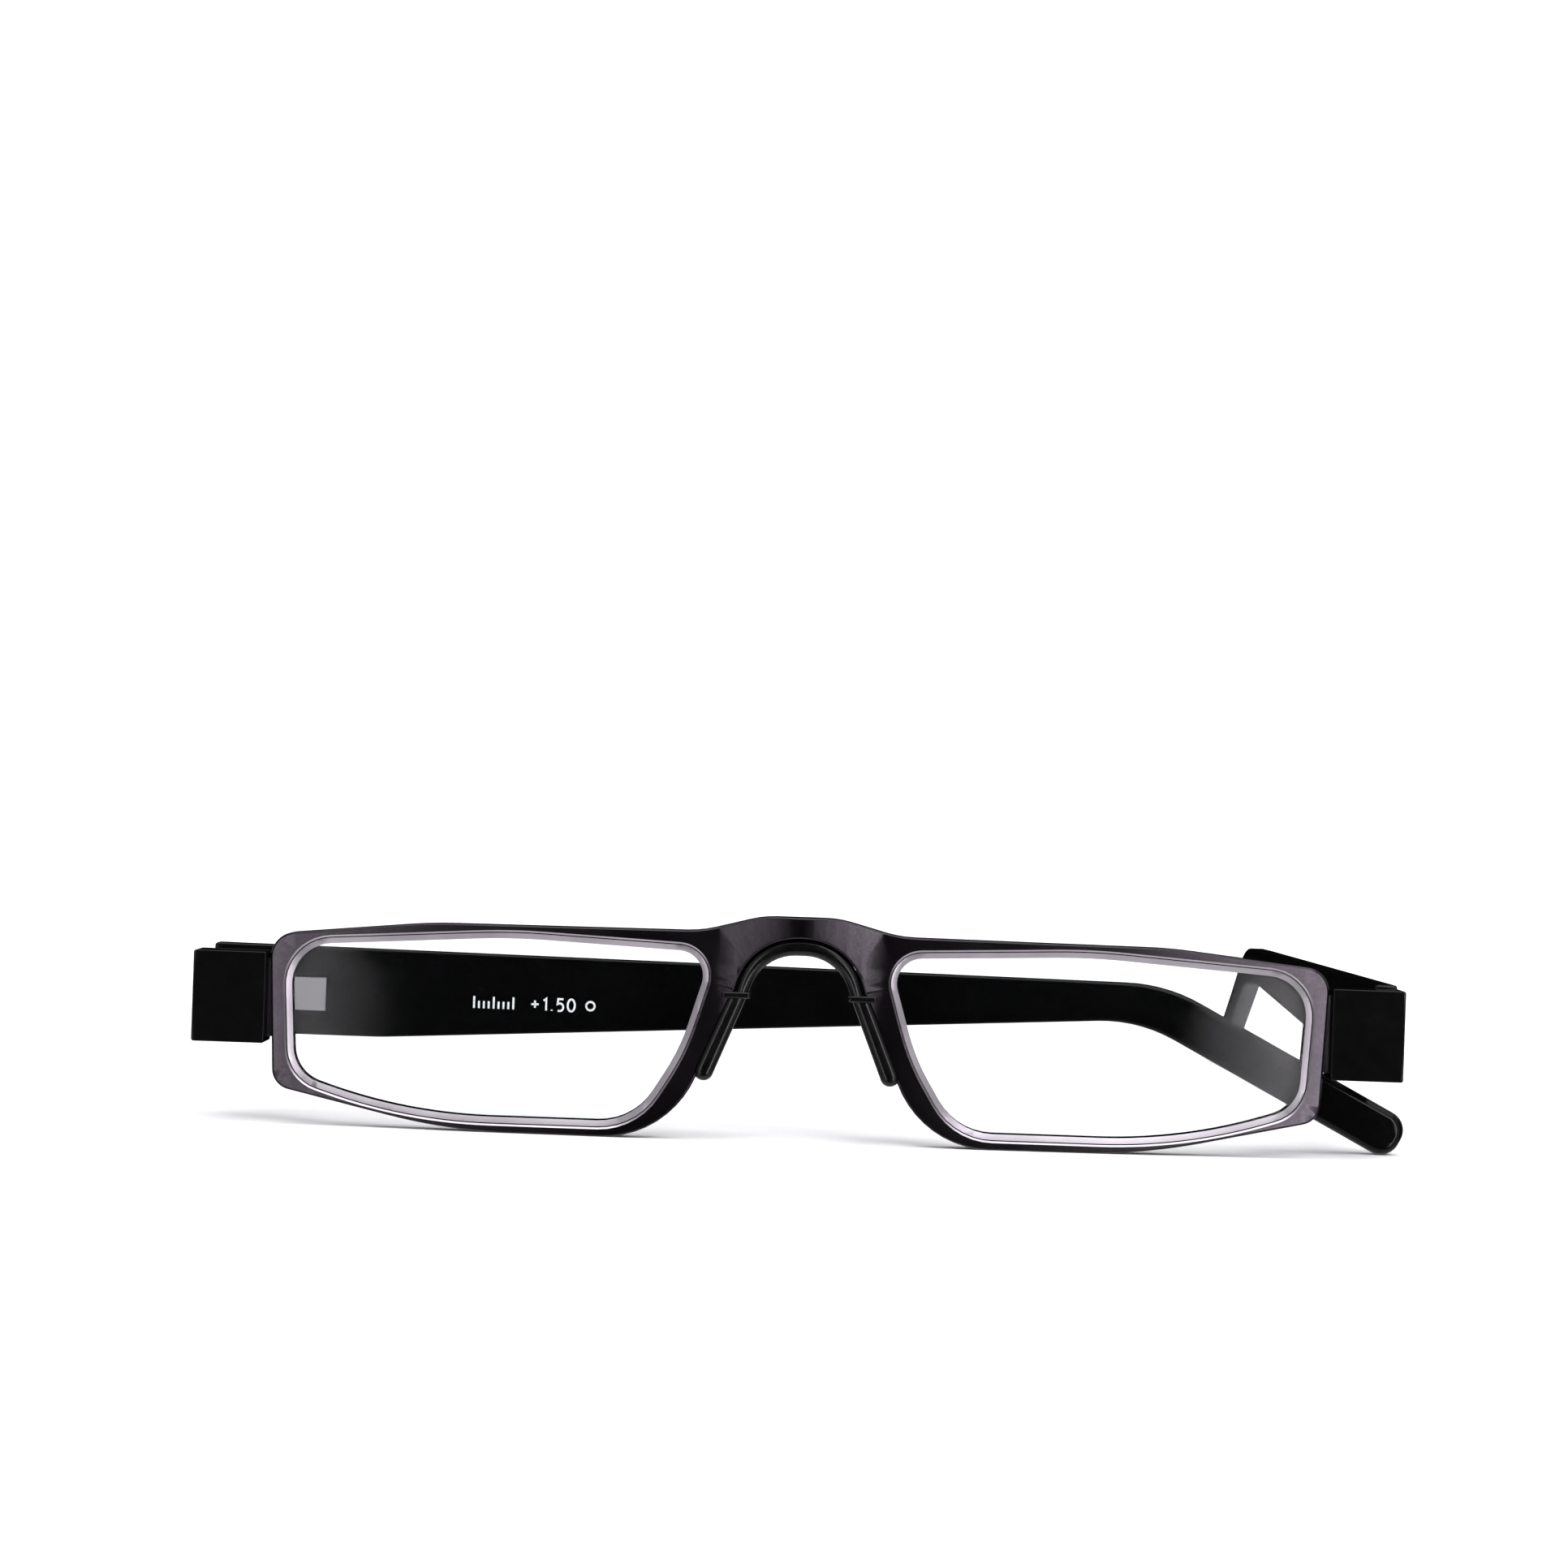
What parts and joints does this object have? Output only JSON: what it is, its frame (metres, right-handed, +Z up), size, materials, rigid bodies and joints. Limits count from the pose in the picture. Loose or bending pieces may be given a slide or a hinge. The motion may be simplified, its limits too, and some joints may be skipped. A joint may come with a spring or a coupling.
{
  "type": "folding reading glasses",
  "caption": "Slim half-eye reading glasses with square end blocks, rubber nose saddle and folding sprung temples.",
  "frame": {"origin": "on the surface the glasses stand on, at the middle of the whole object's box at rest: under the nose bridge in X to within 1 mm, and half way from the bridge to the open ear tip in Y", "axes": "+Z up as worn, the front faces -Y, +X is the wearer's left. At rest the right temple is folded behind the lenses and the left temple is open; each fold joint closes in its positive direction"},
  "size_m": [0.1464, 0.1546, 0.0268],
  "materials": {
    "frame_paint": "satin black paint with fine grain",
    "lens": "clear polished",
    "saddle_rubber": "soft satin black",
    "black_moulding": "smooth black moulding",
    "satin_silver": "satin silver",
    "hinge_steel": "turned steel"
  },
  "bodies": {
    "front": {"front_frame": "frame_paint", "lens_right": "lens", "lens_left": "lens", "nose_saddle": "saddle_rubber", "end_block_right": "black_moulding", "end_block_left": "black_moulding", "hinge_plate_right": "hinge_steel", "hinge_plate_left": "hinge_steel", "hinge_screws": "hinge_steel", "block_screws": "hinge_steel"},
    "hinge_right": {"hinge_slider_right": "satin_silver", "slider_nut_right": "hinge_steel"},
    "arm_right": {"temple_right": "black_moulding", "spring_housing_right": "satin_silver", "return_spring_right": "hinge_steel"},
    "hinge_left": {"hinge_slider_left": "satin_silver", "slider_nut_left": "hinge_steel"},
    "arm_left": {"temple_left": "black_moulding", "spring_housing_left": "satin_silver", "return_spring_left": "hinge_steel"}
  },
  "joints": [
    {"name": "right_fold", "type": "hinge", "parent": "front", "child": "hinge_right", "pos_m": [-0.068, -0.0647, 0.0149], "axis": [0, 0, -1], "range_deg": [-91.24, 0]},
    {"name": "left_fold", "type": "hinge", "parent": "front", "child": "hinge_left", "pos_m": [0.068, -0.0647, 0.0149], "axis": [0, 0, 1], "range_deg": [0, 88.76]},
    {"name": "right_pull", "type": "slide", "parent": "hinge_right", "child": "arm_right", "axis": [0.9998, -0.0216, 0], "range_m": [0, 0.001], "stiffness_N_per_m": 600, "springref_m": -0.001, "deforming": ["return_spring_right"]},
    {"name": "left_pull", "type": "slide", "parent": "hinge_left", "child": "arm_left", "axis": [0, 1, 0], "range_m": [0, 0.001], "stiffness_N_per_m": 600, "springref_m": -0.001, "deforming": ["return_spring_left"]}
  ]
}
